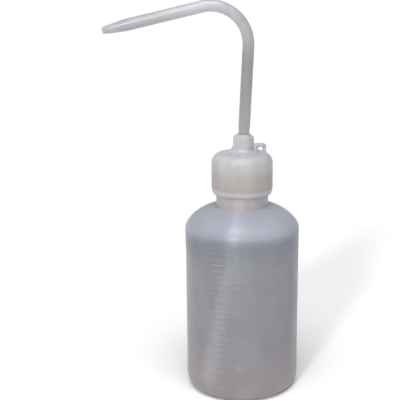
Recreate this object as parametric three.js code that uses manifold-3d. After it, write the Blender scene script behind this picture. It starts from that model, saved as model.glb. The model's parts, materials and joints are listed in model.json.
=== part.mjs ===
// Laboratory wash bottle, 250 ml: a translucent bottle with a screw cap, a bent spout and a dip tube.
// Millimetres, +Z up. The origin is the centre of the flat base, on the surface that it stands on.
// The spout points towards -X, and the graduated side of the bottle faces -Y.
import * as THREE from 'three';
import { mergeVertices } from 'three/addons/utils/BufferGeometryUtils.js';
import Module from 'manifold-3d';

const wasm = await Module();
wasm.setup();

// Bottle body and shoulder
const BODY_R = 32.0;
const WALL = 0.9;
const FLOOR = 1.4;
const BASE_CORNER_R = 5.0;
const BASE_CORNER_H = 7.5;
const BODY_TOP_Z = 93.2;
const SHOULDER_RUN = 18.1;
const SHOULDER_RISE = 12.7;
const SHOULDER_POWER = 1.61;

// Neck
const NECK_R = 14.5;
const NECK_COLLAR_TOP_Z = 113.0;
const NECK_COLLAR_STEP = 0.8;
const THREAD_ROOT_R = 13.7;
const NECK_BORE_R = 11.8;
const LIP_Z = 131.4;
const LIP_CHAMFER = 0.5;

// Screw thread, right-handed, shared by the neck and the cap
const THREAD_PITCH = 4.0;
const THREAD_TURNS = 1.75;
const THREAD_BOTTOM_Z = 117.0;
const THREAD_DEPTH = 0.95;
const THREAD_ROOT_WIDTH = 1.7;
const THREAD_CREST_WIDTH = 1.0;
const THREAD_EMBED = 0.3;
const THREAD_RUN_OUT = 0.12;

// Screw cap
const CAP_R = 17.0;
const CAP_BOTTOM_Z = 112.2;
const CAP_TOP_Z = 135.4;
const CAP_EDGE_R = 5.6;
const CAP_LIP_R = 15.15;
const CAP_TAPER_H = 4.0;
const CAP_MOUTH_R = 14.85;
const CAP_MOUTH_H = 0.8;
const CAP_BORE_R = 15.05;
const CEILING_Z = 133.0;
const WASHER_BEAD_Z = 131.0;
const WASHER_BEAD_R = 14.6;
const WASHER_BEAD_H = 0.5;
const CAP_CONE_R = 8.6;
const CAP_CONE_Z = 136.0;
const BOSS_FOOT_Z = 138.3;

// Boss and the two tubes share an axis that leans towards +X and crosses the bottle's axis at LEAN_Z.
// Heights along that axis are measured from the crossing.
const LEAN = THREE.MathUtils.degToRad(2.9);
const LEAN_Z = 126.4;
const BOSS_R = 5.7;
const BOSS_BOTTOM = 7.6;
const BOSS_CORNER = 17.7;
const BOSS_TOP = 19.3;
const BOSS_TOP_R = 3.9;
const BOSS_EDGE = 0.4;
const SOCKET_R = 5.2;
const SOCKET_BOTTOM = 0.8;
const PASSAGE_R = 2.3;
const SPIGOT_SEAT = 11.3;
const SPIGOT_BORE_R = 3.2;
const DIP_SEAT = 9.6;
const DIP_BORE_R = 3.5;

// Eyelet beside the boss, in the plane of the spout
const EYELET_X = 10.0;
const EYELET_Z = 137.3;
const EYELET_HOLE_R = 1.4;
const EYELET_RIGHT_X = 13.4;
const EYELET_TOP_Z = 140.5;
const EYELET_BOTTOM_Z = 134.5;
const EYELET_CORNER_R = 2.0;
const EYELET_THICKNESS = 2.2;

// Sealing washer
const WASHER_IN_R = 12.0;
const WASHER_OUT_R = 14.8;
const WASHER_THICKNESS = 1.0;
const FIT_GAP = 0.3;

// Spout tube
const TUBE_R = 3.2;
const TUBE_BORE_R = 2.4;
const SPIGOT_R = 3.0;
const SPIGOT_PASSAGE_R = 2.2;
const SPIGOT_TOP = 22.2;
const SPIGOT_STEP = 1.2;
const BEND_START = 66.8;
const BEND_R = 20.2;
const BEND_ANGLE = THREE.MathUtils.degToRad(106.2);
const ARM_LENGTH = 54.5;
const TIP_TAPER = 13.5;
const TIP_R = 1.8;
const TIP_BORE_R = 0.8;
const TIP_ROUND = 0.3;

// Dip tube: straight down its socket, then curving to the lower left corner of the bottle
const DIP_END = new THREE.Vector3(-20, -10, 3.2);
const DIP_LEAD = 30;
const DIP_LOWER_HANDLE = new THREE.Vector3(-4.3, -2.2, 82);

// Smoothness of the round shapes
const BODY_SIDES = 48;
const CAP_SIDES = 48;
const SMALL_SIDES = 24;
const TUBE_SIDES = 16;
const THREAD_STEPS_PER_TURN = 24;
const BEND_STEPS = 14;
const DIP_STEPS = 16;
const TAPER_STEPS = 4;

const leanDirection = new THREE.Vector3(Math.sin(LEAN), 0, Math.cos(LEAN));

function point(r, z) {
  return new THREE.Vector2(r, z);
}

// Points of a quarter ellipse about (r, z), from angle 0 (radially outwards) to 90 degrees (upwards).
function quarter(r, z, semiR, semiZ, steps) {
  const points = [];
  for (let i = 0; i <= steps; i += 1) {
    const angle = (Math.PI / 2) * (i / steps);
    points.push(point(r + semiR * Math.cos(angle), z + semiZ * Math.sin(angle)));
  }
  return points;
}

// Shoulder curve from the body's edge up to radius stopR, a superellipse inset by the given distance.
function shoulder(inset, stopR, steps) {
  const centreR = BODY_R - SHOULDER_RUN;
  const run = SHOULDER_RUN - inset;
  const rise = SHOULDER_RISE - inset;
  const reach = Math.max(stopR - centreR, 0) / run;
  const lastAngle = Math.acos(reach ** (SHOULDER_POWER / 2));
  const points = [];
  for (let i = 0; i <= steps; i += 1) {
    const angle = lastAngle * (i / steps);
    const across = Math.max(Math.cos(angle), 0) ** (2 / SHOULDER_POWER);
    const up = Math.sin(angle) ** (2 / SHOULDER_POWER);
    points.push(point(centreR + run * across, BODY_TOP_Z + rise * up));
  }
  return points;
}

// Solid of revolution about +Z from a profile of (radius, height) points.
function turned(profile, sides) {
  const geometry = new THREE.LatheGeometry(profile, sides);
  geometry.rotateX(Math.PI / 2);
  return geometry;
}

// Only positions, shared corners merged, no collapsed triangles, and faces pointing outwards.
function welded(geometry) {
  const bare = geometry.clone();
  bare.deleteAttribute('normal');
  bare.deleteAttribute('uv');
  const merged = mergeVertices(bare, 1e-4);
  const position = merged.attributes.position;
  const corners = [new THREE.Vector3(), new THREE.Vector3(), new THREE.Vector3()];
  const kept = [];
  let volume = 0;
  for (let i = 0; i < merged.index.count; i += 3) {
    const [a, b, c] = [0, 1, 2].map((k) => merged.index.getX(i + k));
    if (a !== b && b !== c && c !== a) {
      kept.push([a, b, c]);
      [a, b, c].forEach((vertex, k) => corners[k].fromBufferAttribute(position, vertex));
      volume += corners[0].dot(corners[1].cross(corners[2]));
    }
  }
  merged.setIndex(kept.flatMap(([a, b, c]) => (volume < 0 ? [a, c, b] : [a, b, c])));
  return merged;
}

function toSolid(geometry) {
  const clean = welded(geometry);
  const vertProperties = Float32Array.from(clean.attributes.position.array);
  const triVerts = Uint32Array.from(clean.index.array);
  return new wasm.Manifold(new wasm.Mesh({ numProp: 3, vertProperties, triVerts }));
}

function toGeometry(solid) {
  const mesh = solid.getMesh();
  const geometry = new THREE.BufferGeometry();
  geometry.setAttribute('position', new THREE.BufferAttribute(Float32Array.from(mesh.vertProperties), 3));
  geometry.setIndex(new THREE.BufferAttribute(Uint32Array.from(mesh.triVerts), 1));
  geometry.computeVertexNormals();
  return geometry;
}

// Turns a shape made about +Z from the crossing point onto the leaning axis.
function lean(geometry) {
  geometry.rotateY(LEAN);
  geometry.translate(0, 0, LEAN_Z);
  return geometry;
}

// Helical rib: a straight bar wrapped round the Z axis. Its inner and outer faces have their own radius
// and width, and the exposed face sinks into the wall over the first and last part of its length.
function helicalRib({ inner, outer, exposed, bottomZ, startAngle }) {
  const sweep = THREAD_TURNS * 2 * Math.PI;
  const steps = Math.round(THREAD_TURNS * THREAD_STEPS_PER_TURN);
  const bar = new THREE.BoxGeometry(1, 1, 1, steps, 1, 1);
  const position = bar.attributes.position;
  const wallR = exposed === 'outer' ? outer.r - THREAD_DEPTH : inner.r + THREAD_DEPTH;
  for (let i = 0; i < position.count; i += 1) {
    const along = position.getX(i) + 0.5;
    const face = position.getZ(i) > 0 ? outer : inner;
    const isExposed = (position.getZ(i) > 0) === (exposed === 'outer');
    const fade = Math.min(1, along / THREAD_RUN_OUT, (1 - along) / THREAD_RUN_OUT);
    const radius = isExposed ? wallR + (face.r - wallR) * fade : face.r;
    const angle = startAngle + sweep * along;
    const z = bottomZ + THREAD_PITCH * THREAD_TURNS * along + position.getY(i) * face.width;
    position.setXYZ(i, radius * Math.cos(angle), radius * Math.sin(angle), z);
  }
  return bar;
}

// Straight tube turned from a closed (radius, length) profile and then bent along a centre line.
function bentTube(profile, sides, centreLine) {
  const tube = new THREE.LatheGeometry(profile, sides);
  const position = tube.attributes.position;
  const length = centreLine.getLength();
  const side = new THREE.Vector3(0, -1, 0);
  for (let i = 0; i < position.count; i += 1) {
    const along = THREE.MathUtils.clamp(position.getY(i) / length, 0, 1);
    const centre = centreLine.getPointAt(along);
    const tangent = centreLine.getTangentAt(along);
    const normal = tangent.clone().cross(side).normalize();
    const binormal = normal.clone().cross(tangent);
    centre.addScaledVector(normal, position.getX(i));
    centre.addScaledVector(binormal, position.getZ(i));
    position.setXYZ(i, centre.x, centre.y, centre.z);
  }
  return welded(tube);
}

// Centre line of the spout: up the leaning axis, round the bend and down the arm.
class SpoutLine extends THREE.Curve {
  constructor(start) {
    super();
    this.rise = BEND_START - start;
    this.bend = BEND_R * BEND_ANGLE;
    this.length = this.rise + this.bend + ARM_LENGTH;
    this.origin = new THREE.Vector3(0, 0, LEAN_Z).addScaledVector(leanDirection, start);
  }

  getPoint(t, target = new THREE.Vector3()) {
    const s = t * this.length;
    const up = Math.min(s, this.rise);
    const turn = THREE.MathUtils.clamp((s - this.rise) / BEND_R, 0, BEND_ANGLE);
    const arm = Math.max(s - this.rise - this.bend, 0);
    const left = BEND_R * (1 - Math.cos(turn)) + arm * Math.sin(turn);
    const ahead = up + BEND_R * Math.sin(turn) + arm * Math.cos(turn);
    const sideways = new THREE.Vector3(-Math.cos(LEAN), 0, Math.sin(LEAN));
    return target.copy(this.origin).addScaledVector(leanDirection, ahead).addScaledVector(sideways, left);
  }
}

function bottleGeometry() {
  const innerR = BODY_R - WALL;
  const baseOutside = quarter(0, 0, BASE_CORNER_R, BASE_CORNER_H, 5).reverse();
  const baseInside = quarter(0, 0, BASE_CORNER_R - WALL, BASE_CORNER_H - FLOOR, 4);
  const profile = [
    point(0, 0),
    ...baseOutside.map((p) => point(BODY_R - BASE_CORNER_R + p.x, BASE_CORNER_H - p.y)),
    ...shoulder(0, NECK_R, 9),
    point(NECK_R, NECK_COLLAR_TOP_Z),
    point(THREAD_ROOT_R, NECK_COLLAR_TOP_Z + NECK_COLLAR_STEP),
    point(THREAD_ROOT_R, LIP_Z - LIP_CHAMFER),
    point(THREAD_ROOT_R - LIP_CHAMFER, LIP_Z),
    point(NECK_BORE_R, LIP_Z),
    point(NECK_BORE_R, BODY_TOP_Z + SHOULDER_RISE),
    ...shoulder(WALL, 0, 8).reverse(),
    ...baseInside.map((p) => point(innerR - BASE_CORNER_R + WALL + p.x, BASE_CORNER_H - p.y)),
    point(0, FLOOR),
  ];
  const thread = helicalRib({
    inner: { r: THREAD_ROOT_R - THREAD_EMBED, width: THREAD_ROOT_WIDTH },
    outer: { r: THREAD_ROOT_R + THREAD_DEPTH, width: THREAD_CREST_WIDTH },
    exposed: 'outer',
    bottomZ: THREAD_BOTTOM_Z,
    startAngle: 0,
  });
  return toGeometry(toSolid(turned(profile, BODY_SIDES)).add(toSolid(thread)));
}

// Skirt and top of the cap, before the boss, the eyelet and the bores.
function capShell() {
  const edge = quarter(CAP_R - CAP_EDGE_R, CAP_TOP_Z - CAP_EDGE_R, CAP_EDGE_R, CAP_EDGE_R, 6);
  const taper = quarter(0, 0, CAP_R - CAP_LIP_R, CAP_TAPER_H, 4).reverse();
  const foot = quarter(0, 0, CAP_CONE_R - BOSS_R, BOSS_FOOT_Z - CAP_CONE_Z, 4).reverse();
  const profile = [
    point(0, CEILING_Z),
    point(CAP_BORE_R, CEILING_Z),
    point(CAP_BORE_R, WASHER_BEAD_Z + WASHER_BEAD_H),
    point(WASHER_BEAD_R, WASHER_BEAD_Z),
    point(CAP_BORE_R, WASHER_BEAD_Z - WASHER_BEAD_H),
    point(CAP_BORE_R, CAP_BOTTOM_Z + CAP_MOUTH_H),
    point(CAP_MOUTH_R, CAP_BOTTOM_Z),
    ...taper.map((p) => point(CAP_LIP_R + p.x, CAP_BOTTOM_Z + CAP_TAPER_H - p.y)),
    ...edge,
    ...foot.map((p) => point(CAP_CONE_R - p.x, BOSS_FOOT_Z - p.y)),
    point(0, BOSS_FOOT_Z),
  ];
  return turned(profile, CAP_SIDES);
}

function eyeletGeometry() {
  const outline = new THREE.Shape();
  const cornerX = EYELET_RIGHT_X - EYELET_CORNER_R;
  const cornerZ = EYELET_TOP_Z - EYELET_CORNER_R;
  outline.moveTo(BOSS_R / 2, EYELET_BOTTOM_Z);
  outline.lineTo(EYELET_RIGHT_X, EYELET_BOTTOM_Z);
  outline.lineTo(EYELET_RIGHT_X, cornerZ);
  outline.absarc(cornerX, cornerZ, EYELET_CORNER_R, 0, Math.PI / 2, false);
  outline.lineTo(BOSS_R / 2, EYELET_TOP_Z);
  outline.closePath();
  const hole = new THREE.Path();
  hole.absarc(EYELET_X, EYELET_Z, EYELET_HOLE_R, 0, 2 * Math.PI, true);
  outline.holes.push(hole);
  const options = { depth: EYELET_THICKNESS, bevelEnabled: false, curveSegments: 8 };
  const plate = new THREE.ExtrudeGeometry(outline, options);
  plate.rotateX(Math.PI / 2);
  plate.translate(0, EYELET_THICKNESS / 2, 0);
  return plate;
}

function capGeometry() {
  const boss = [
    point(0, BOSS_BOTTOM),
    point(BOSS_R, BOSS_BOTTOM),
    point(BOSS_R, BOSS_CORNER - BOSS_EDGE),
    point(BOSS_R - BOSS_EDGE, BOSS_CORNER),
    point(BOSS_TOP_R, BOSS_TOP),
    point(0, BOSS_TOP),
  ];
  const socket = [
    point(0, SOCKET_BOTTOM),
    point(SOCKET_R, SOCKET_BOTTOM),
    point(SOCKET_R, BOSS_BOTTOM + 1),
    point(0, BOSS_BOTTOM + 1),
  ];
  const bores = [
    point(0, SOCKET_BOTTOM - 1),
    point(DIP_BORE_R, SOCKET_BOTTOM - 1),
    point(DIP_BORE_R, DIP_SEAT),
    point(PASSAGE_R, DIP_SEAT),
    point(PASSAGE_R, SPIGOT_SEAT),
    point(SPIGOT_BORE_R, SPIGOT_SEAT),
    point(SPIGOT_BORE_R, BOSS_TOP + 1),
    point(0, BOSS_TOP + 1),
  ];
  const thread = helicalRib({
    inner: { r: CAP_BORE_R - THREAD_DEPTH, width: THREAD_CREST_WIDTH },
    outer: { r: CAP_BORE_R + THREAD_EMBED, width: THREAD_ROOT_WIDTH },
    exposed: 'inner',
    bottomZ: THREAD_BOTTOM_Z - THREAD_PITCH / 2,
    startAngle: 0,
  });
  const solid = toSolid(capShell())
    .add(toSolid(lean(turned(boss, SMALL_SIDES))))
    .add(toSolid(lean(turned(socket, SMALL_SIDES))))
    .add(toSolid(eyeletGeometry()))
    .add(toSolid(thread))
    .subtract(toSolid(lean(turned(bores, SMALL_SIDES))));
  return toGeometry(solid);
}

function washerGeometry() {
  const bottom = LIP_Z + FIT_GAP;
  const top = bottom + WASHER_THICKNESS;
  const profile = [
    point(WASHER_IN_R, bottom),
    point(WASHER_OUT_R, bottom),
    point(WASHER_OUT_R, top),
    point(WASHER_IN_R, top),
    point(WASHER_IN_R, bottom),
  ];
  return welded(turned(profile, CAP_SIDES));
}

function spoutGeometry() {
  const start = SPIGOT_SEAT + FIT_GAP;
  const line = new SpoutLine(start);
  const step = SPIGOT_TOP - start;
  const bendFrom = line.rise;
  const bendTo = line.rise + line.bend;
  const taperFrom = line.length - TIP_TAPER;
  const bendStations = [];
  for (let i = 0; i <= BEND_STEPS; i += 1) {
    bendStations.push(bendFrom + (bendTo - bendFrom) * (i / BEND_STEPS));
  }
  const outerTaper = [];
  for (let i = 0; i < TAPER_STEPS; i += 1) {
    const share = i / TAPER_STEPS;
    outerTaper.push(point(TIP_R + (TUBE_R - TIP_R) * (1 - share ** 1.4), taperFrom + TIP_TAPER * share));
  }
  const profile = [
    point(SPIGOT_PASSAGE_R, 0),
    point(SPIGOT_R, 0),
    point(SPIGOT_R, step),
    point(TUBE_R, step + SPIGOT_STEP),
    ...bendStations.map((s) => point(TUBE_R, s)),
    ...outerTaper,
    point(TIP_R, line.length - TIP_ROUND),
    point(TIP_R - TIP_ROUND, line.length),
    point(TIP_BORE_R, line.length),
    point(TUBE_BORE_R, taperFrom),
    ...bendStations.map((s) => point(TUBE_BORE_R, s)).reverse(),
    point(TUBE_BORE_R, step + SPIGOT_STEP),
    point(SPIGOT_PASSAGE_R, step),
    point(SPIGOT_PASSAGE_R, 0),
  ];
  return bentTube(profile, TUBE_SIDES, line);
}

function dipTubeGeometry() {
  const top = new THREE.Vector3(0, 0, LEAN_Z).addScaledVector(leanDirection, DIP_SEAT - FIT_GAP);
  const lead = top.clone().addScaledVector(leanDirection, -DIP_LEAD);
  const line = new THREE.CubicBezierCurve3(top, lead, DIP_LOWER_HANDLE, DIP_END);
  const length = line.getLength();
  const profile = [];
  for (let i = 0; i <= DIP_STEPS; i += 1) {
    profile.push(point(TUBE_R, length * (i / DIP_STEPS)));
  }
  const bore = profile.map((p) => point(TUBE_BORE_R, p.y)).reverse();
  return bentTube([...profile, ...bore, profile[0]], TUBE_SIDES, line);
}

function part(name, geometry, color, roughness, opacity) {
  const transparent = opacity < 1;
  const material = new THREE.MeshStandardMaterial({ color, roughness, metalness: 0, transparent, opacity });
  const mesh = new THREE.Mesh(geometry, material);
  mesh.name = name;
  return mesh;
}

const washBottle = new THREE.Group();
washBottle.name = 'wash_bottle';
washBottle.add(part('bottle', bottleGeometry(), 0x9a9aa0, 0.42, 0.8));
washBottle.add(part('screw_cap', capGeometry(), 0xb9b6b3, 0.4, 0.95));
washBottle.add(part('sealing_washer', washerGeometry(), 0xe6e6e2, 0.6, 1));
washBottle.add(part('spout_tube', spoutGeometry(), 0xb4b1b2, 0.35, 0.9));
washBottle.add(part('dip_tube', dipTubeGeometry(), 0xb4b1b2, 0.35, 0.9));

export default washBottle;
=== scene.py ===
"""Looks of the laboratory wash bottle: fine meshes, materials, lights and camera around the CAD frame.

Shapes are worked out in millimetres, in the CAD frame, and scaled to metres when a mesh is made.
The spout points towards -X, and the graduated side faces -Y, where the camera is.
"""

import json
import math

import bmesh
import bpy
import numpy as np
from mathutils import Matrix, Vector


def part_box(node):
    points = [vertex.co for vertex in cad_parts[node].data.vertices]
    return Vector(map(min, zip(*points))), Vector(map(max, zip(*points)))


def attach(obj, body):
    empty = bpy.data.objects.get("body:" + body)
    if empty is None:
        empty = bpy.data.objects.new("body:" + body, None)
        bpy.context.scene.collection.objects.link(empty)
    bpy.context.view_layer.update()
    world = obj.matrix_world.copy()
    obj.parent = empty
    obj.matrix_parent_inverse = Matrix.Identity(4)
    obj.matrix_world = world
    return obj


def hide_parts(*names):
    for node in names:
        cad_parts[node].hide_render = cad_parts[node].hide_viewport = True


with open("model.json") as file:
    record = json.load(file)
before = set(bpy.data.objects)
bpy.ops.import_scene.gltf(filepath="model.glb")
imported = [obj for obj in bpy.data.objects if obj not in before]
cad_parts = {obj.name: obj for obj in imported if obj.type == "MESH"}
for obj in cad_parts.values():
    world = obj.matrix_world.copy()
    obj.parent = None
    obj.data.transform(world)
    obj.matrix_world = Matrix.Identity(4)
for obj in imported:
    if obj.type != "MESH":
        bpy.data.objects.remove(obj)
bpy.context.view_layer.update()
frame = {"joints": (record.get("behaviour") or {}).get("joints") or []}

MM = 0.001


def cad_size(node):
    """(lowest corner, highest corner) of a CAD node, in millimetres."""
    low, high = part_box(node)
    return Vector(low) / MM, Vector(high) / MM


def joint(name):
    return next(j for j in frame["joints"] if j["name"] == name)


BOTTLE_HIGH = cad_size("bottle")[1]
CAP_LOW, CAP_HIGH = cad_size("screw_cap")
WASHER_LOW, WASHER_HIGH = cad_size("sealing_washer")

# Bottle body, shoulder and neck
BODY_R = BOTTLE_HIGH.x
LIP_Z = BOTTLE_HIGH.z
WALL = 0.9
FLOOR = 1.4
BASE_CORNER_R = 5.0
BASE_CORNER_H = 7.5
BASE_RECESS = 0.7
BASE_RING_R = 25.0
BASE_RECESS_R = 21.0
BODY_TOP_Z = 93.2
SHOULDER_RUN = 18.1
SHOULDER_RISE = 12.7
SHOULDER_POWER = 1.61
NECK_R = 14.5
NECK_FILLET = 0.9
NECK_COLLAR_TOP_Z = 113.0
THREAD_ROOT_R = 13.7
NECK_BORE_R = 11.8

# Screw thread, right-handed, shared by the neck and the cap
THREAD_PITCH = 4.0
THREAD_TURNS = 1.75
THREAD_BOTTOM_Z = 117.0
THREAD_DEPTH = 0.95
THREAD_ROOT_WIDTH = 1.7
THREAD_CREST_WIDTH = 1.0
THREAD_EMBED = 0.3
THREAD_RUN_OUT = 0.12

# Cap
CAP_R = CAP_HIGH.x
CAP_BOTTOM_Z = CAP_LOW.z
CAP_TOP_Z = 135.4
CAP_EDGE_R = 5.6
CAP_LIP_R = 15.15
CAP_TAPER_H = 4.0
CAP_MOUTH_R = 14.85
CAP_BORE_R = 15.05
CEILING_Z = 133.0
BEAD_Z = 131.0
BEAD_HALF_HEIGHT = 0.5
BEAD_DEPTH = 0.45
CAP_CONE_R = 8.6
CAP_CONE_Z = 136.0
BOSS_FOOT_Z = 138.3

# Leaning axis of the boss and the spout, from the spout's own joint
SWIVEL = joint("spout_swivel")
LEAN_AXIS = Vector(SWIVEL["axis"]).normalized()
LEAN_POINT = Vector(SWIVEL["pos_m"]) / MM
LEAN = math.atan2(LEAN_AXIS.x, LEAN_AXIS.z)
BOSS_R = 5.7
BOSS_BOTTOM = 7.6
BOSS_CORNER = 17.7
BOSS_TOP = 19.3
BOSS_TOP_R = 3.9
SOCKET_R = 5.2
SOCKET_BOTTOM = 0.8
PASSAGE_R = 2.3
SPIGOT_SEAT = 11.3
SPIGOT_BORE_R = 3.2
DIP_SEAT = 9.6
DIP_BORE_R = 3.5

# Eyelet
EYELET_X = 10.0
EYELET_Z = 137.3
EYELET_HOLE_R = 1.4
EYELET_RIGHT_X = 13.4
EYELET_TOP_Z = 140.5
EYELET_BOTTOM_Z = 134.5
EYELET_CORNER_R = 2.0
EYELET_THICKNESS = 2.2
EYELET_ROOT_X = BOSS_R + 2

# Tubes
TUBE_R = 3.2
TUBE_BORE_R = 2.4
SPIGOT_R = 3.0
SPIGOT_PASSAGE_R = 2.2
SPIGOT_TOP = 22.2
SPIGOT_STEP = 1.2
SPOUT_START = SPIGOT_SEAT + 0.3
BEND_START = 66.8
BEND_R = 20.2
BEND_ANGLE = math.radians(106.2)
ARM_LENGTH = 54.5
TIP_TAPER = 13.5
TIP_R = 1.8
TIP_BORE_R = 0.8
DIP_END = Vector((-20, -10, 3.2))
DIP_LEAD = 30
DIP_LOWER_HANDLE = Vector((-4.3, -2.2, 82))

# Moulded scale: heights of the marks, and where they lie round the body from the front, in degrees
SCALE_TOP_ML = 250
SCALE_TOP_Z = 85.6
SCALE_STEP_ML = 10
MAJOR_STEP_ML = 50
MM_PER_ML = 16.18 / 50
MARK_FROM = -32.0
MINOR_TO = -18.5
MAJOR_TO = -12.0
NUMBER_FROM = -9.0
NUMBER_HEIGHT = 3.9
NUMBER_WIDTH = 2.3
NUMBER_GAP = 0.75
NUMBER_DROP = 0.6
MARK_HALF_WIDTH = 0.24
MARK_SOFTNESS = 0.28
MARK_RELIEF = 0.28
MARK_MILKINESS = 0.14

# Camera: a long lens, looking a little down, shifted so that the bottle stands right of the middle
SENSOR = 36.0
FOCAL_LENGTH = 76.5
CAMERA_SHIFT = -0.10525
CAMERA_PITCH = math.radians(13.9)
CAMERA_DISTANCE = 475.5
CAMERA_AIM_Z = 108.3

# Stage and light
FLOOR_HALF = 60.0  # in metres
FLOOR_GAP = 0.2  # keeps the floor from touching the base
ROOM_HORIZON = 0.7
ROOM_ABOVE = 0.3
ROOM_FADE = (0.05, 0.4)  # how far up a direction points where the room starts and ends growing dimmer
ROOM_COLOUR = (0.94, 0.965, 1.0, 1)
OVERHEAD = {"azimuth": 0, "elevation": 67, "width": 44, "strength": 2.1, "colour": (0.97, 0.98, 1.0)}
WINDOW = {"azimuth": -21, "elevation": 24, "width": 7, "strength": 1.2, "colour": (1, 1, 1)}


# ---------------------------------------------------------------- mesh tools


def smooth(t):
    """0 up to t = 0, 1 from t = 1, and an even slope-free join between them. t may be an array."""
    t = np.clip(t, 0, 1)
    return t * t * (3 - 2 * t)


def new_piece(name, mesh, body, slot, *replaced):
    piece = bpy.data.objects.new(name, mesh)
    bpy.context.scene.collection.objects.link(piece)
    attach(piece, body)
    if replaced:
        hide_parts(*replaced)
    return piece


def mesh_from(name, vertices, faces, sharp_degrees=35):
    """A closed smooth-shaded mesh in metres from points in millimetres, with its faces pointing out."""
    mesh = bpy.data.meshes.new(name)
    mesh.from_pydata((np.asarray(vertices, float) * MM).tolist(), [], faces)
    work = bmesh.new()
    work.from_mesh(mesh)
    bmesh.ops.recalc_face_normals(work, faces=work.faces)
    work.to_mesh(mesh)
    work.free()
    mesh.polygons.foreach_set("use_smooth", [True] * len(mesh.polygons))
    mesh.set_sharp_from_angle(angle=math.radians(sharp_degrees))
    return mesh


def ring_faces(first, second, count):
    """Quads between two rings of count vertices that start at the indices first and second."""
    return [
        (first + k, first + (k + 1) % count, second + (k + 1) % count, second + k)
        for k in range(count)
    ]


def revolved(profile, angles, shape=None):
    """Vertices and faces of a body turned about Z from a (radius, height) profile.

    The profile either starts and ends on the axis or is a closed loop given without its last point.
    shape(radius, height, angle) may give the rings' points another radius.
    """
    profile = np.asarray(profile, float)
    on_axis = profile[0, 0] == 0
    rings = profile[1:-1] if on_axis else profile
    radius, height = np.repeat(rings[:, 0], len(angles)), np.repeat(rings[:, 1], len(angles))
    angle = np.tile(angles, len(rings))
    if shape is not None:
        radius = shape(radius, height, angle)
    points = np.stack([radius * np.cos(angle), radius * np.sin(angle), height], 1)
    count = len(angles)
    faces = []
    for i in range(len(rings) - 1):
        faces += ring_faces(i * count, (i + 1) * count, count)
    if on_axis:
        last = (len(rings) - 1) * count
        first_pole, last_pole = len(points), len(points) + 1
        points = np.vstack([points, [0, 0, profile[0, 1]], [0, 0, profile[-1, 1]]])
        faces += [(first_pole, (k + 1) % count, k) for k in range(count)]
        faces += [(last_pole, last + k, last + (k + 1) % count) for k in range(count)]
    else:
        faces += ring_faces((len(rings) - 1) * count, 0, count)
    return points, faces


def even_angles(count):
    return np.linspace(0, 2 * math.pi, count, endpoint=False)


def rounded(corners, steps=6):
    """A profile whose corners, given as (radius, height, fillet), are rounded by arcs of their fillet."""
    points = []
    for i, (x, y, fillet) in enumerate(corners):
        here = Vector((x, y))
        if fillet == 0 or i in (0, len(corners) - 1):
            points.append((x, y))
            continue
        back = (Vector(corners[i - 1][:2]) - here)
        ahead = (Vector(corners[i + 1][:2]) - here)
        half = back.angle(ahead) / 2
        reach = min(fillet / math.tan(half), 0.49 * back.length, 0.49 * ahead.length)
        radius = reach * math.tan(half)
        start = here + back.normalized() * reach
        end = here + ahead.normalized() * reach
        centre = here + (back.normalized() + ahead.normalized()).normalized() * (radius / math.sin(half))
        first = math.atan2(start.y - centre.y, start.x - centre.x)
        turn = math.atan2(end.y - centre.y, end.x - centre.x) - first
        turn = (turn + math.pi) % (2 * math.pi) - math.pi
        for k in range(steps + 1):
            a = first + turn * k / steps
            points.append((centre.x + radius * math.cos(a), centre.y + radius * math.sin(a)))
    return points


def quarter(centre_r, centre_z, semi_r, semi_z, steps):
    """Points of a quarter ellipse from pointing outwards to pointing upwards."""
    turns = np.linspace(0, math.pi / 2, steps + 1)
    return [(centre_r + semi_r * math.cos(a), centre_z + semi_z * math.sin(a)) for a in turns]


def helical_rib(inner_r, inner_width, outer_r, outer_width, wall_r, exposed_outer, bottom_z, steps=168):
    """A thread: a bar wrapped round Z whose exposed face sinks into the wall at both ends."""
    points, faces = [], []
    for i in range(steps + 1):
        along = i / steps
        fade = smooth(min(along, 1 - along) / THREAD_RUN_OUT)
        inner = inner_r if exposed_outer else wall_r + (inner_r - wall_r) * fade
        outer = wall_r + (outer_r - wall_r) * fade if exposed_outer else outer_r
        angle = 2 * math.pi * THREAD_TURNS * along
        z = bottom_z + THREAD_PITCH * THREAD_TURNS * along
        section = [
            (inner, z - inner_width / 2),
            (outer, z - outer_width / 2),
            (outer, z + outer_width / 2),
            (inner, z + inner_width / 2),
        ]
        points += [(r * math.cos(angle), r * math.sin(angle), h) for r, h in section]
        if i:
            faces += ring_faces((i - 1) * 4, i * 4, 4)
    faces.append((3, 2, 1, 0))
    faces.append(tuple(4 * steps + k for k in range(4)))
    return points, faces


def leaned(points):
    """Points made about Z from the crossing point, turned onto the leaning axis."""
    points = np.asarray(points, float)
    turned = points.copy()
    turned[:, 0] = points[:, 0] * math.cos(LEAN) + points[:, 2] * math.sin(LEAN)
    turned[:, 2] = -points[:, 0] * math.sin(LEAN) + points[:, 2] * math.cos(LEAN)
    return turned + np.array(LEAN_POINT)


def combine(name, base, tools, sharp_degrees=35):
    """base joined with or cut by each (operation, mesh) in turn, as one clean mesh."""
    piece = bpy.data.objects.new(name, base)
    bpy.context.scene.collection.objects.link(piece)
    helpers = []
    for operation, mesh in tools:
        helper = bpy.data.objects.new("helper", mesh)
        bpy.context.scene.collection.objects.link(helper)
        modifier = piece.modifiers.new(operation, "BOOLEAN")
        modifier.operation, modifier.solver, modifier.object = operation, "EXACT", helper
        helpers.append(helper)
    bpy.context.view_layer.update()
    result = bpy.data.meshes.new_from_object(piece.evaluated_get(bpy.context.evaluated_depsgraph_get()))
    for helper in [*helpers, piece]:
        bpy.data.objects.remove(helper)
    result.name = name
    result.polygons.foreach_set("use_smooth", [True] * len(result.polygons))
    result.set_sharp_from_angle(angle=math.radians(sharp_degrees))
    return result


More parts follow.
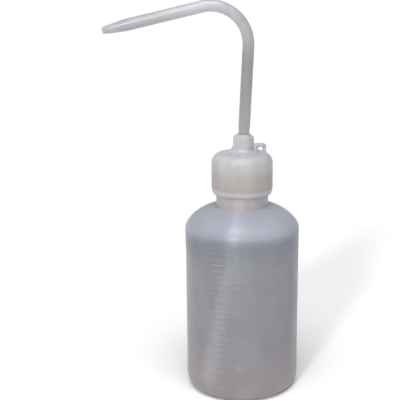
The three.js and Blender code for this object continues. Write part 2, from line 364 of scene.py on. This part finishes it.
def swept_tube(stations, outer, inner, centre_line, sides=40, flatten=None):
    """A hollow tube along centre_line(s), with the radii outer and inner at the given stations."""
    points = []
    turns = even_angles(sides)
    for radii, order in ((outer, 1), (inner, -1)):
        for s, r in list(zip(stations, radii))[::order]:
            centre, tangent = centre_line(s)
            normal = tangent.cross(Vector((0, -1, 0))).normalized()
            binormal = normal.cross(tangent)
            squeeze = 1 - (flatten(s) if flatten else 0)
            for a in turns:
                offset = normal * (r * math.cos(a) * squeeze) + binormal * (r * math.sin(a) / squeeze)
                points.append(tuple(centre + offset))
    rings = 2 * len(stations)
    faces = []
    for i in range(rings):
        faces += ring_faces(i * sides, ((i + 1) % rings) * sides, sides)
    return points, faces


# ---------------------------------------------------------------- moulded scale


def arc(centre_x, centre_y, radius_x, radius_y, start, end, steps=10):
    turns = np.radians(np.linspace(start, end, steps + 1))
    return [(centre_x + radius_x * math.cos(a), centre_y + radius_y * math.sin(a)) for a in turns]


# Pen strokes of the numerals, in a cell 1 wide and 1 high.
NUMERALS = {
    "0": [arc(0.5, 0.5, 0.5, 0.5, 0, 360, 20)],
    "1": [[(0.2, 0.8), (0.55, 1.0), (0.55, 0.0)]],
    "2": [arc(0.5, 0.72, 0.45, 0.28, 170, -35, 8) + [(0.02, 0.0), (1.0, 0.0)]],
    "5": [[(0.92, 1.0), (0.15, 1.0), (0.1, 0.56)] + arc(0.48, 0.32, 0.48, 0.32, 125, -145, 10)],
}


def mark_height(millilitres):
    return SCALE_TOP_Z - (SCALE_TOP_ML - millilitres) * MM_PER_ML


def scale_strokes():
    """Every stroke of the scale as ((x, z), (x, z)), with x measured round the body from the front."""
    per_degree = math.radians(1) * BODY_R
    strokes = []
    for millilitres in range(SCALE_STEP_ML, SCALE_TOP_ML + 1, SCALE_STEP_ML):
        z = mark_height(millilitres)
        major = millilitres % MAJOR_STEP_ML == 0
        end = MAJOR_TO if major else MINOR_TO
        strokes.append(((MARK_FROM * per_degree, z), (end * per_degree, z)))
        if not major:
            continue
        left = NUMBER_FROM * per_degree + (3 - len(str(millilitres))) * (NUMBER_WIDTH + NUMBER_GAP) / 2
        low = z - NUMBER_HEIGHT / 2 - NUMBER_DROP
        for digit in str(millilitres):
            for line in NUMERALS[digit]:
                placed = [(left + x * NUMBER_WIDTH, low + y * NUMBER_HEIGHT) for x, y in line]
                strokes += list(zip(placed[:-1], placed[1:]))
            left += NUMBER_WIDTH + NUMBER_GAP
    return strokes


def relief(x, z):
    """Height of the moulded scale above the wall at points x round the body and z up it."""
    nearest = np.full(x.shape, 1e9)
    for (ax, az), (bx, bz) in scale_strokes():
        length2 = (bx - ax) ** 2 + (bz - az) ** 2
        close = (z > min(az, bz) - 1) & (z < max(az, bz) + 1)
        t = np.clip(((x[close] - ax) * (bx - ax) + (z[close] - az) * (bz - az)) / length2, 0, 1)
        gap = np.hypot(x[close] - ax - t * (bx - ax), z[close] - az - t * (bz - az))
        nearest[close] = np.minimum(nearest[close], gap)
    return MARK_RELIEF * smooth((MARK_HALF_WIDTH + MARK_SOFTNESS - nearest) / MARK_SOFTNESS)


# ---------------------------------------------------------------- bottle


def shoulder(inset, stop_r, steps):
    """The shoulder's curve from the body up to the radius stop_r, moved in by inset."""
    centre = BODY_R - SHOULDER_RUN
    run, rise = SHOULDER_RUN - inset, SHOULDER_RISE - inset
    reach = max(stop_r - centre, 0) / run
    last = math.acos(reach ** (SHOULDER_POWER / 2))
    points = []
    for a in np.linspace(0, last, steps + 1):
        across = max(math.cos(a), 0) ** (2 / SHOULDER_POWER)
        up = math.sin(a) ** (2 / SHOULDER_POWER)
        points.append((centre + run * across, BODY_TOP_Z + rise * up))
    return points


RAISED = "raised"
THIN = "thin"


def mesh_points(mesh):
    """The x, y and z of every point of a mesh, in millimetres."""
    points = np.empty(3 * len(mesh.vertices))
    mesh.vertices.foreach_get("co", points)
    return points.reshape(-1, 3).T / MM


def store(mesh, name, values):
    mesh.attributes.new(name, "FLOAT", "POINT").data.foreach_set("value", values)


def mark_relief(mesh):
    """Stores on each point how far it stands on the moulded scale, from 0 to 1, for the material."""
    x, y, z = mesh_points(mesh)
    from_front = np.arctan2(x, -y)
    outside = (np.hypot(x, y) > BODY_R - WALL / 2) & (z < BODY_TOP_Z)
    raised = np.zeros(len(x))
    raised[outside] = relief(from_front[outside] * BODY_R, z[outside]) / MARK_RELIEF
    store(mesh, RAISED, raised)


PARTING_ANGLE = math.radians(-14)  # the scale is centred between the two halves of the mould
PARTING_HALF_WIDTH = math.radians(0.35)
PARTING_HEIGHT = 0.07
PARTING_INNER_R = 11.0
BODY_WAVES = (  # height in mm, waves round the body, waves up it, phase: unevenness of a blown wall
    (0.05, 2, 0.9, 0.4),
    (0.035, 3, -1.6, 2.1),
    (0.02, 5, 2.3, 4.0),
)


def bottle_shape(outer_rings, angle_count):
    """The function that adds the scale, the parting line and the wall's unevenness to the outer rings."""

    def shape(radius, height, angle):
        outer = np.arange(len(radius)) < outer_rings * angle_count
        from_front = (angle + math.pi / 2 + math.pi) % (2 * math.pi) - math.pi
        on_body = outer & (height > 6) & (height < BODY_TOP_Z)
        added = np.zeros(len(radius))
        added[on_body] = relief(from_front[on_body] * BODY_R, height[on_body])
        fade = np.clip((height - 4) / 12, 0, 1) * np.clip((BODY_TOP_Z - height) / 12, 0, 1)
        for size, around, up, phase in BODY_WAVES:
            wave = np.sin(around * angle + up * height / BODY_TOP_Z * math.pi + phase)
            added -= fade * size * (1 + wave)
        side = (from_front - PARTING_ANGLE + math.pi / 2) % math.pi
        side = np.minimum(side, math.pi - side)
        seam = np.clip(1 - side / PARTING_HALF_WIDTH, 0, 1) * PARTING_HEIGHT
        added[outer] += (seam * (height < NECK_COLLAR_TOP_Z) * (radius > PARTING_INNER_R))[outer]
        return radius + added

    return shape


SCALE_SPAN = (MARK_FROM - 2, 9.0)  # degrees from the front, with a little room on each side
SCALE_ANGLE_STEP = 0.5
PLAIN_ANGLES = 110


def bottle_angles():
    """Angles round the bottle, closer together where the scale is."""
    first, last = SCALE_SPAN
    fine = np.arange(first, last, SCALE_ANGLE_STEP)
    rest = np.linspace(last, 360 + first, PLAIN_ANGLES, endpoint=False)
    half = math.degrees(PARTING_HALF_WIDTH)
    parting = [math.degrees(PARTING_ANGLE) + side + off for side in (90, 270) for off in (-half, 0, half)]
    degrees = sorted({*np.round(fine, 3), *np.round(rest, 3), *np.round(parting, 3)})
    return np.radians(np.array(degrees) - 90)


def make_bottle():
    inner_r = BODY_R - WALL
    base = quarter(0, 0, BASE_CORNER_R, BASE_CORNER_H, 14)
    outside = [(0, BASE_RECESS)]
    outside += rounded(
        [
            (0.5, BASE_RECESS, 0),
            (BASE_RECESS_R, BASE_RECESS, 2.0),
            (BASE_RING_R, 0, 1.2),
            (BODY_R - BASE_CORNER_R, 0, 0),
        ]
    )
    outside += [(BODY_R - BASE_CORNER_R + x, BASE_CORNER_H - y) for x, y in base[::-1][1:]]
    outside += [(BODY_R, z) for z in np.arange(BASE_CORNER_H, BODY_TOP_Z, 0.3)[1:]]
    curve = shoulder(0, NECK_R + 0.02, 34)
    outside += rounded(
        [
            *[(r, z, 0) for r, z in curve[:-1]],
            (NECK_R, curve[-1][1], NECK_FILLET),
            (NECK_R, NECK_COLLAR_TOP_Z, 0.3),
            (THREAD_ROOT_R, NECK_COLLAR_TOP_Z + 0.8, 0.3),
            (THREAD_ROOT_R, LIP_Z, 0.5),
            ((THREAD_ROOT_R + NECK_BORE_R) / 2, LIP_Z, 0),
        ]
    )
    inside = rounded(
        [
            ((THREAD_ROOT_R + NECK_BORE_R) / 2 - 0.1, LIP_Z, 0),
            (NECK_BORE_R, LIP_Z, 0.5),
            (NECK_BORE_R, BODY_TOP_Z + SHOULDER_RISE + 0.6, 2.0),
            *[(r, z, 0) for r, z in shoulder(WALL, 0, 24)[::-1]],
        ]
    )
    inside += [(inner_r, z) for z in np.linspace(BODY_TOP_Z, BASE_CORNER_H, 40)[1:-1]]
    corner = quarter(0, 0, BASE_CORNER_R - WALL, BASE_CORNER_H - FLOOR, 10)
    inside += [(inner_r - BASE_CORNER_R + WALL + x, BASE_CORNER_H - y) for x, y in corner]
    inside += [(BASE_RECESS_R, FLOOR), (BASE_RECESS_R - 2, FLOOR + BASE_RECESS), (0, FLOOR + BASE_RECESS)]
    angles = bottle_angles()
    shape = bottle_shape(len(outside) - 1, len(angles))
    body = mesh_from("bottle_body", *revolved(outside + inside, angles, shape))
    rib = helical_rib(
        THREAD_ROOT_R - THREAD_EMBED,
        THREAD_ROOT_WIDTH,
        THREAD_ROOT_R + THREAD_DEPTH,
        THREAD_CREST_WIDTH,
        THREAD_ROOT_R,
        True,
        THREAD_BOTTOM_Z,
    )
    mesh = combine("bottle_shell", body, [("UNION", mesh_from("neck_thread", *rib))])
    mark_relief(mesh)
    return new_piece("bottle_shell", mesh, "bottle", "bottle_polyethylene", "bottle")


# ---------------------------------------------------------------- cap and washer


def make_cap():
    shell = [(0, CEILING_Z)]
    shell += rounded(
        [
            (1, CEILING_Z, 0),
            (CAP_BORE_R, CEILING_Z, 0.4),
            (CAP_BORE_R, BEAD_Z + BEAD_HALF_HEIGHT, 0.2),
            (CAP_BORE_R - BEAD_DEPTH, BEAD_Z, 0.2),
            (CAP_BORE_R, BEAD_Z - BEAD_HALF_HEIGHT, 0.2),
            (CAP_BORE_R, CAP_BOTTOM_Z + 0.8, 0.3),
            (CAP_MOUTH_R, CAP_BOTTOM_Z, 0.15),
            (CAP_LIP_R, CAP_BOTTOM_Z, 0),
        ],
        4,
    )
    taper = quarter(0, 0, CAP_R - CAP_LIP_R, CAP_TAPER_H, 14)[::-1]
    shell += [(CAP_LIP_R + x, CAP_BOTTOM_Z + CAP_TAPER_H - y) for x, y in taper[1:]]
    shell += [(CAP_R, z) for z in np.linspace(CAP_BOTTOM_Z + CAP_TAPER_H, CAP_TOP_Z - CAP_EDGE_R, 12)[1:-1]]
    shell += quarter(CAP_R - CAP_EDGE_R, CAP_TOP_Z - CAP_EDGE_R, CAP_EDGE_R, CAP_EDGE_R, 16)
    foot = quarter(0, 0, CAP_CONE_R - BOSS_R, BOSS_FOOT_Z - CAP_CONE_Z, 8)[::-1]
    shell += [(CAP_CONE_R - x, BOSS_FOOT_Z - y) for x, y in foot]
    shell += [(0, BOSS_FOOT_Z)]
    boss = [(0, BOSS_BOTTOM)] + rounded(
        [
            (1, BOSS_BOTTOM, 0),
            (BOSS_R, BOSS_BOTTOM, 0),
            (BOSS_R, BOSS_CORNER, 0.5),
            (BOSS_TOP_R, BOSS_TOP, 0.3),
            (1, BOSS_TOP, 0),
        ]
    ) + [(0, BOSS_TOP)]
    socket = [(0, SOCKET_BOTTOM)] + rounded(
        [
            (1, SOCKET_BOTTOM, 0),
            (SOCKET_R, SOCKET_BOTTOM, 0.4),
            (SOCKET_R, BOSS_BOTTOM + 1, 0),
            (1, BOSS_BOTTOM + 1, 0),
        ]
    ) + [(0, BOSS_BOTTOM + 1)]
    bores = [
        (0, SOCKET_BOTTOM - 1),
        (DIP_BORE_R, SOCKET_BOTTOM - 1),
        (DIP_BORE_R, DIP_SEAT),
        (PASSAGE_R, DIP_SEAT),
        (PASSAGE_R, SPIGOT_SEAT),
        (SPIGOT_BORE_R, SPIGOT_SEAT),
        (SPIGOT_BORE_R, BOSS_TOP + 1),
        (0, BOSS_TOP + 1),
    ]
    rib = helical_rib(
        CAP_BORE_R - THREAD_DEPTH,
        THREAD_CREST_WIDTH,
        CAP_BORE_R + THREAD_EMBED,
        THREAD_ROOT_WIDTH,
        CAP_BORE_R,
        False,
        THREAD_BOTTOM_Z - THREAD_PITCH / 2,
    )

    def leaning(name, profile):
        points, faces = revolved(profile, even_angles(64))
        return mesh_from(name, leaned(points), faces)

    tools = [
        ("UNION", leaning("boss", boss)),
        ("UNION", leaning("socket", socket)),
        ("UNION", eyelet_mesh()),
        ("UNION", mesh_from("cap_thread", *rib)),
        ("DIFFERENCE", leaning("bores", bores)),
    ]
    body = mesh_from("cap_body", *revolved(shell, even_angles(160)))
    mesh = combine("cap_moulding", body, tools)
    x, _, z = mesh_points(mesh)
    store(mesh, THIN, ((x > EYELET_ROOT_X) & (z > CAP_CONE_Z)).astype(float))
    return new_piece("cap_moulding", mesh, "cap", "cap_polyethylene", "screw_cap")


def eyelet_mesh():
    """The plate beside the boss, with its hole and softened edges."""
    corner = Vector((EYELET_RIGHT_X - EYELET_CORNER_R, EYELET_TOP_Z - EYELET_CORNER_R))
    left = BOSS_R / 2
    outline = [(left, EYELET_BOTTOM_Z), (EYELET_RIGHT_X, EYELET_BOTTOM_Z)]
    outline += [
        (corner.x + EYELET_CORNER_R * math.cos(a), corner.y + EYELET_CORNER_R * math.sin(a))
        for a in np.linspace(0, math.pi / 2, 12)
    ]
    outline += [(left, EYELET_TOP_Z)]
    work = bmesh.new()
    face = work.faces.new([work.verts.new((x * MM, -EYELET_THICKNESS / 2 * MM, z * MM)) for x, z in outline])
    grown = bmesh.ops.extrude_face_region(work, geom=[face])
    moved = [g for g in grown["geom"] if isinstance(g, bmesh.types.BMVert)]
    bmesh.ops.translate(work, verts=moved, vec=(0, EYELET_THICKNESS * MM, 0))
    bmesh.ops.recalc_face_normals(work, faces=work.faces)
    rims = [e for e in work.edges if abs(e.verts[0].co.y - e.verts[1].co.y) < 1e-6]
    bmesh.ops.bevel(work, geom=rims, offset=0.35 * MM, segments=3, profile=0.5, affect="EDGES")
    plate = bpy.data.meshes.new("eyelet_plate")
    work.to_mesh(plate)
    work.free()
    half = EYELET_THICKNESS / 2
    flare = [
        (0, -half - 1),
        (EYELET_HOLE_R + 0.5, -half - 1),
        (EYELET_HOLE_R + 0.5, -half + 0.05),
        (EYELET_HOLE_R, -half + 0.5),
        (EYELET_HOLE_R, half - 0.5),
        (EYELET_HOLE_R + 0.5, half - 0.05),
        (EYELET_HOLE_R + 0.5, half + 1),
        (0, half + 1),
    ]
    points, faces = revolved(flare, even_angles(40))
    turned = np.stack([points[:, 0] + EYELET_X, points[:, 2], points[:, 1] + EYELET_Z], 1)
    return combine("eyelet", plate, [("DIFFERENCE", mesh_from("eyelet_hole", turned, faces))])


def make_washer():
    low, high = WASHER_LOW.z, WASHER_HIGH.z
    outer = WASHER_HIGH.x
    inner = NECK_BORE_R + 0.2
    mid = (inner + outer) / 2
    loop = rounded(
        [
            (mid, low, 0),
            (outer, low, 0.2),
            (outer, high, 0.2),
            (inner, high, 0.2),
            (inner, low, 0.2),
            (mid - 0.1, low, 0),
        ]
    )
    mesh = mesh_from("washer_ring", *revolved(loop, even_angles(96)))
    return new_piece("washer_ring", mesh, "washer", "washer_foam", "sealing_washer")


# ---------------------------------------------------------------- tubes


def spout_line(s):
    """Centre and direction of the spout at the length s from its lower end, in millimetres."""
    rise = BEND_START - SPOUT_START
    turn = min(max((s - rise) / BEND_R, 0), BEND_ANGLE)
    arm = max(s - rise - BEND_R * BEND_ANGLE, 0)
    left = BEND_R * (1 - math.cos(turn)) + arm * math.sin(turn)
    ahead = min(s, rise) + BEND_R * math.sin(turn) + arm * math.cos(turn)
    sideways = Vector((-LEAN_AXIS.z, 0, LEAN_AXIS.x))
    centre = LEAN_POINT + LEAN_AXIS * (SPOUT_START + ahead) + sideways * left
    return centre, LEAN_AXIS * math.cos(turn) + sideways * math.sin(turn)


def make_spout():
    rise = BEND_START - SPOUT_START
    length = rise + BEND_R * BEND_ANGLE + ARM_LENGTH
    step = SPIGOT_TOP - SPOUT_START
    taper = length - TIP_TAPER
    stations = sorted(
        {
            0,
            0.3,
            *np.linspace(step - 0.6, step + SPIGOT_STEP + 0.6, 12),
            *np.linspace(step + 3, rise, 24),
            *np.linspace(rise, rise + BEND_R * BEND_ANGLE, 48),
            *np.linspace(rise + BEND_R * BEND_ANGLE, taper, 20),
            *np.linspace(taper, length, 36),
            length - 0.15,
            length - 0.04,
        }
    )

    def outer(s):
        lower = SPIGOT_R + (TUBE_R - SPIGOT_R) * smooth((s - step + 0.3) / (SPIGOT_STEP + 0.3))
        share = min(max(s - taper, 0) / TIP_TAPER, 1)
        drawn = lower - (TUBE_R - TIP_R) * share**1.4
        rim = 0.3 * (1 - math.sqrt(max(1 - (max(s - length + 0.3, 0) / 0.3) ** 2, 0)))
        foot = 0.3 * max(0.3 - s, 0) / 0.3
        return drawn - rim - foot

    def inner(s):
        lower = SPIGOT_PASSAGE_R + (TUBE_BORE_R - SPIGOT_PASSAGE_R) * smooth((s - step) / SPIGOT_STEP)
        return lower - (TUBE_BORE_R - TIP_BORE_R) * smooth((s - taper) / TIP_TAPER)

    def flatten(s):
        middle = rise + BEND_R * BEND_ANGLE / 2
        return 0.03 * smooth(1.25 - abs(s - middle) / (BEND_R * BEND_ANGLE / 2))

    tube = swept_tube(
        stations, [outer(s) for s in stations], [inner(s) for s in stations], spout_line, 48, flatten
    )
    return new_piece("spout", mesh_from("spout", *tube), "spout", "tube_polyethylene", "spout_tube")


def make_dip_tube():
    top = LEAN_POINT + LEAN_AXIS * (DIP_SEAT - 0.3)
    handles = [top, top - LEAN_AXIS * DIP_LEAD, DIP_LOWER_HANDLE, DIP_END]

    def line(t):
        a, b, c, d = handles
        u = 1 - t
        centre = a * u**3 + b * (3 * u * u * t) + c * (3 * u * t * t) + d * t**3
        tangent = (b - a) * (u * u) + (c - b) * (2 * u * t) + (d - c) * (t * t)
        return centre, tangent.normalized()

    stations = [0, 0.002, *np.linspace(0.01, 0.99, 60), 0.998, 1]
    edge = [0.25 if t in (0, 1) else 0 for t in stations]
    outer = [TUBE_R - e for e in edge]
    inner = [TUBE_BORE_R + e for e in edge]
    mesh = mesh_from("dip_tube_fine", *swept_tube(stations, outer, inner, line, 40))
    return new_piece("dip_tube_fine", mesh, "cap", "tube_polyethylene", "dip_tube")


# ---------------------------------------------------------------- materials


def linear(value):
    """A colour given as it looks on a screen, 0 to 255, as linear RGBA."""
    shares = [v / 255 for v in value]
    return [s / 12.92 if s <= 0.04045 else ((s + 0.055) / 1.055) ** 2.4 for s in shares] + [1.0]


class Nodes:
    """A material's node tree, with short calls for the nodes that the materials here share."""

    def __init__(self, name):
        self.material = bpy.data.materials.new(name)
        self.material.use_nodes = True
        self.tree = self.material.node_tree
        self.shader = self.tree.nodes["Principled BSDF"]
        self.place = self.tree.nodes.new("ShaderNodeTexCoord").outputs["Object"]

    def link(self, source, target):
        self.tree.links.new(source, target)

    def noise(self, scale, detail=3.0, stretch=(1, 1, 1)):
        """Fractal noise with about scale features a metre, fewer along an axis whose stretch is under 1."""
        mapping = self.tree.nodes.new("ShaderNodeMapping")
        mapping.inputs["Scale"].default_value = stretch
        self.link(self.place, mapping.inputs["Vector"])
        node = self.tree.nodes.new("ShaderNodeTexNoise")
        node.inputs["Scale"].default_value = scale
        node.inputs["Detail"].default_value = detail
        self.link(mapping.outputs["Vector"], node.inputs["Vector"])
        return node.outputs["Fac"]

    def span(self, value, low, high, start=0.3, end=0.7):
        """A number that goes from low to high as value goes from start to end."""
        node = self.tree.nodes.new("ShaderNodeMapRange")
        for name, number in (("From Min", start), ("From Max", end), ("To Min", low), ("To Max", high)):
            node.inputs[name].default_value = number
        self.link(value, node.inputs["Value"])
        return node.outputs["Result"]

    def add(self, first, second, operation="ADD"):
        node = self.tree.nodes.new("ShaderNodeMath")
        node.operation = operation
        for value, target in ((first, node.inputs[0]), (second, node.inputs[1])):
            if isinstance(value, (int, float)):
                target.default_value = value
            else:
                self.link(value, target)
        return node.outputs[0]

    def mix(self, factor, first, second, blend="MIX"):
        """Two colours, each a node's output or RGBA, blended by a number or a node's output."""
        node = self.tree.nodes.new("ShaderNodeMix")
        node.data_type, node.blend_type = "RGBA", blend
        colours = [socket for socket in node.inputs if socket.type == "RGBA"]
        for value, target in ((factor, node.inputs[0]), (first, colours[0]), (second, colours[1])):
            if isinstance(value, (int, float, list, tuple)):
                target.default_value = value
            else:
                self.link(value, target)
        return next(socket for socket in node.outputs if socket.type == "RGBA")

    def height(self):
        """Height above the base in millimetres."""
        split = self.tree.nodes.new("ShaderNodeSeparateXYZ")
        self.link(self.place, split.inputs["Vector"])
        return self.add(split.outputs["Z"], 1 / MM, "MULTIPLY")

    def bands(self, value, stops):
        """Colours that blend smoothly between the stops, each a value and a colour as seen on a screen."""
        low, high = stops[0][0], stops[-1][0]
        ramp = self.tree.nodes.new("ShaderNodeValToRGB")
        ramp.color_ramp.interpolation = "EASE"
        while len(ramp.color_ramp.elements) < len(stops):
            ramp.color_ramp.elements.new(0.5)
        for element, (at, colour) in zip(ramp.color_ramp.elements, stops):
            element.position = (at - low) / (high - low)
            element.color = linear(colour)
        self.link(self.span(value, 0, 1, low, high), ramp.inputs["Fac"])
        return ramp.outputs["Color"]

    def bump(self, height, distance):
        """Relief whose full height is distance in millimetres."""
        node = self.tree.nodes.new("ShaderNodeBump")
        node.inputs["Distance"].default_value = distance * MM
        self.link(height, node.inputs["Height"])
        self.link(node.outputs["Normal"], self.shader.inputs["Normal"])

    def absorb(self, colour, density):
        """Absorption inside the wall, which darkens it where it is seen edge on."""
        volume = self.tree.nodes.new("ShaderNodeVolumeAbsorption")
        volume.inputs["Color"].default_value = (*colour, 1)
        volume.inputs["Density"].default_value = density
        self.link(volume.outputs["Volume"], self.tree.nodes["Material Output"].inputs["Volume"])

    def set(self, **values):
        for name, value in values.items():
            self.shader.inputs[name.replace("_", " ")].default_value = value


# Sizes of the unevenness in the plastic, in features a metre
DRIFT_SCALE = 45
CLOUD_SCALE = 55
STREAK_SCALE = 150
GLOSS_SCALE = 160
SKIN_SCALE = 230
SKIN_STREAK_SCALE = 120
POLYETHYLENE_IOR = 1.51
UPRIGHT = (1, 1, 0.06)
UPRIGHT_SKIN = (1, 1, 0.1)
MILK_WHITE = (246, 246, 248)


def polyethylene(name, stops, roughness, transmission, drift=3.0, cloud=0.08, streak=0.05, skin=0.02):
    """Milky polyethylene coloured by height from the stops, which paint light and shade into it where they
    change, with cloudy and streaky walls, uneven gloss and a soft skin.
    """
    nodes = Nodes(name)
    height = nodes.add(nodes.height(), nodes.span(nodes.noise(DRIFT_SCALE), -drift, drift))
    # colour bands by height: painted light and shade wherever the stops change
    painted_bands = nodes.bands(height, stops)
    clouds = nodes.span(nodes.noise(CLOUD_SCALE, 3), 1 - cloud, 1 + cloud)
    streaks = nodes.span(nodes.noise(STREAK_SCALE, 2, UPRIGHT), 1 - streak, 1 + streak)
    shade = nodes.tree.nodes.new("ShaderNodeCombineColor")
    amount = nodes.add(clouds, streaks, "MULTIPLY")
    for channel in ("Red", "Green", "Blue"):
        nodes.link(amount, shade.inputs[channel])
    colour = nodes.mix(1.0, painted_bands, shade.outputs["Color"], "MULTIPLY")
    nodes.link(colour, nodes.shader.inputs["Base Color"])
    gloss = nodes.span(nodes.noise(GLOSS_SCALE, 4), roughness - GLOSS_SPREAD, roughness + GLOSS_SPREAD)
    nodes.link(gloss, nodes.shader.inputs["Roughness"])
    skin_height = nodes.add(nodes.noise(SKIN_SCALE, 2), nodes.noise(SKIN_STREAK_SCALE, 2, UPRIGHT_SKIN))
    nodes.bump(skin_height, skin)
    nodes.set(IOR=POLYETHYLENE_IOR, Transmission_Weight=transmission)
    return nodes


BOTTLE_PAINTED_LIGHT = (  # height in mm and colour, painted light and shade: the shoulder painted lighter and bluish where the light from above falls, the body painted darker below it, the base and the neck painted lighter
    (0, (194, 187, 189)),
    (18, (189, 182, 186)),
    (32, (182, 182, 185)),
    (76, (181, 181, 186)),
    (89, (168, 171, 179)),
    (97, (207, 212, 221)),
    (104, (206, 210, 218)),
    (107, (222, 216, 219)),
    (113, (228, 222, 225)),
    (132, (222, 216, 219)),
)
# height in mm and colour, painted light and shade: the lip painted lighter as a painted reflection of the
# shoulder below, the lower skirt painted darker, the top painted lighter where the light from above falls
CAP_PAINTED_LIGHT = (
    (112, (212, 208, 210)),
    (115.6, (206, 202, 204)),
    (116.2, (183, 178, 174)),
    (123, (187, 182, 179)),
    (129, (204, 200, 201)),
    (136, (217, 214, 219)),
    (146, (208, 203, 208)),
)
# painted shade: the darker grey that the eyelet's thin plate is painted with
EYELET_PAINTED_SHADE = (188, 185, 189)
# height in mm and colour, painted light: the bend and the arm painted lighter where the overhead light falls
# on them, the upright tube painted darker
SPOUT_PAINTED_LIGHT = (
    (130, (195, 191, 192)),
    (185, (178, 174, 175)),
    (205, (212, 209, 213)),
    (220, (228, 226, 230)),
)
DIP_TUBE_TINTS = ((0, (240, 239, 240)), (140, (240, 239, 240)))

# Every finish stays above a roughness of 0.27. One that lies across it renders speckled, and so did a
# glossier spout.
GLOSS_SPREAD = 0.03
BOTTLE_ROUGHNESS = 0.33
CAP_ROUGHNESS = 0.44
SPOUT_ROUGHNESS = 0.32
DIP_TUBE_ROUGHNESS = 0.34
DIP_TUBE_GLOW = 0.38  # stands in for the light that a thin milky wall would pass on from the tube behind it


def bottle_material():
    """The raised scale is thicker than the wall, so it looks milkier."""
    nodes = polyethylene("bottle_milky", BOTTLE_PAINTED_LIGHT, BOTTLE_ROUGHNESS, 0.6, drift=1.2, streak=0.03)
    nodes.set(IOR=1.3, Specular_IOR_Level=0.4, Coat_Weight=0.07, Coat_Roughness=0.08)
    nodes.absorb((0.72, 0.72, 0.76), 150)
    raised = nodes.tree.nodes.new("ShaderNodeAttribute")
    raised.attribute_name = RAISED
    plain = nodes.shader.inputs["Base Color"].links[0].from_socket
    amount = nodes.add(raised.outputs["Fac"], MARK_MILKINESS, "MULTIPLY")
    milky = nodes.mix(amount, plain, linear(MILK_WHITE))
    nodes.link(milky, nodes.shader.inputs["Base Color"])
    return nodes.material


def cap_material():
    """The thin plate of the eyelet has less milky plastic behind its surface; its darker look is painted
    into its colour as painted shade.
    """
    nodes = polyethylene("cap_natural", CAP_PAINTED_LIGHT, CAP_ROUGHNESS, 0.35, drift=0.3)
    thin = nodes.tree.nodes.new("ShaderNodeAttribute")
    thin.attribute_name = THIN
    plain = nodes.shader.inputs["Base Color"].links[0].from_socket
    nodes.link(nodes.mix(thin.outputs["Fac"], plain, linear(EYELET_PAINTED_SHADE)), nodes.shader.inputs["Base Color"])
    return nodes.material


def tube_material():
    nodes = polyethylene("tube_natural", SPOUT_PAINTED_LIGHT, SPOUT_ROUGHNESS, 0.5)
    nodes.set(Specular_IOR_Level=1.0)
    return nodes.material


def dip_tube_material():
    nodes = polyethylene("dip_tube_natural", DIP_TUBE_TINTS, DIP_TUBE_ROUGHNESS, 0.0)
    nodes.set(Emission_Color=(1, 0.99, 0.98, 1), Emission_Strength=DIP_TUBE_GLOW)
    return nodes.material


def foam_material():
    nodes = Nodes("washer_foam_skin")
    cells = nodes.noise(2500, 2)
    colour = nodes.mix(nodes.span(cells, 0, 1), linear((222, 222, 216)), linear((238, 238, 234)))
    nodes.link(colour, nodes.shader.inputs["Base Color"])
    nodes.bump(cells, 0.08)
    nodes.set(Roughness=0.8)
    return nodes.material


def dress(piece, material):
    piece.data.materials.clear()
    piece.data.materials.append(material)


# ---------------------------------------------------------------- stage, lights and camera


def make_floor():
    work = bmesh.new()
    bmesh.ops.create_grid(work, x_segments=8, y_segments=8, size=FLOOR_HALF)
    mesh = bpy.data.meshes.new("floor")
    work.to_mesh(mesh)
    work.free()
    floor = bpy.data.objects.new("floor", mesh)
    bpy.context.scene.collection.objects.link(floor)
    floor.location.z = -FLOOR_GAP * MM
    nodes = Nodes("floor_paper")
    colour = nodes.mix(nodes.span(nodes.noise(6), 0, 1), linear((251, 250, 249)), linear((254, 253, 252)))
    nodes.link(colour, nodes.shader.inputs["Base Color"])
    nodes.set(Roughness=0.9, Specular_IOR_Level=0.1)
    dress(floor, nodes.material)


def sun(name, azimuth, elevation, width, strength, colour):
    """A far round light, width degrees across. Azimuth 0 is the camera's side, positive its right."""
    data = bpy.data.lights.new(name, "SUN")
    data.angle, data.energy, data.color = math.radians(width), strength, colour
    light = bpy.data.objects.new(name, data)
    bpy.context.scene.collection.objects.link(light)
    a, e = math.radians(azimuth), math.radians(elevation)
    towards = Vector((math.sin(a) * math.cos(e), -math.cos(a) * math.cos(e), math.sin(e)))
    light.rotation_euler = (-towards).to_track_quat("-Z", "Y").to_euler()


def make_lights():
    """A room that is pale at the horizon and dimmer above, a large overhead light and a small window."""
    world = bpy.data.worlds.new("studio")
    bpy.context.scene.world = world
    world.use_nodes = True
    nodes = world.node_tree.nodes
    links = world.node_tree.links
    direction = nodes.new("ShaderNodeTexCoord").outputs["Generated"]
    split = nodes.new("ShaderNodeSeparateXYZ")
    links.new(direction, split.inputs["Vector"])
    height = nodes.new("ShaderNodeMapRange")
    height.inputs["From Min"].default_value = ROOM_FADE[0]
    height.inputs["From Max"].default_value = ROOM_FADE[1]
    height.inputs["To Min"].default_value = ROOM_HORIZON
    height.inputs["To Max"].default_value = ROOM_ABOVE
    links.new(split.outputs["Z"], height.inputs["Value"])
    links.new(height.outputs["Result"], nodes["Background"].inputs["Strength"])
    nodes["Background"].inputs["Color"].default_value = ROOM_COLOUR
    sun("overhead", **OVERHEAD)
    sun("window", **WINDOW)


def make_camera():
    data = bpy.data.cameras.new("camera")
    data.sensor_width = SENSOR
    data.lens = FOCAL_LENGTH
    data.shift_x = CAMERA_SHIFT
    camera = bpy.data.objects.new("camera", data)
    bpy.context.scene.collection.objects.link(camera)
    forward = Vector((0, math.cos(CAMERA_PITCH), -math.sin(CAMERA_PITCH)))
    camera.location = (Vector((0, 0, CAMERA_AIM_Z)) - forward * CAMERA_DISTANCE) * MM
    camera.rotation_euler = forward.to_track_quat("-Z", "Y").to_euler()
    bpy.context.scene.camera = camera


make_camera()
make_floor()
make_lights()
bpy.context.scene.view_settings.view_transform = "Standard"

bottle = make_bottle()
cap = make_cap()
washer = make_washer()
spout = make_spout()
dip_tube = make_dip_tube()

dress(bottle, bottle_material())
dress(cap, cap_material())
dress(spout, tube_material())
dress(dip_tube, dip_tube_material())
dress(washer, foam_material())
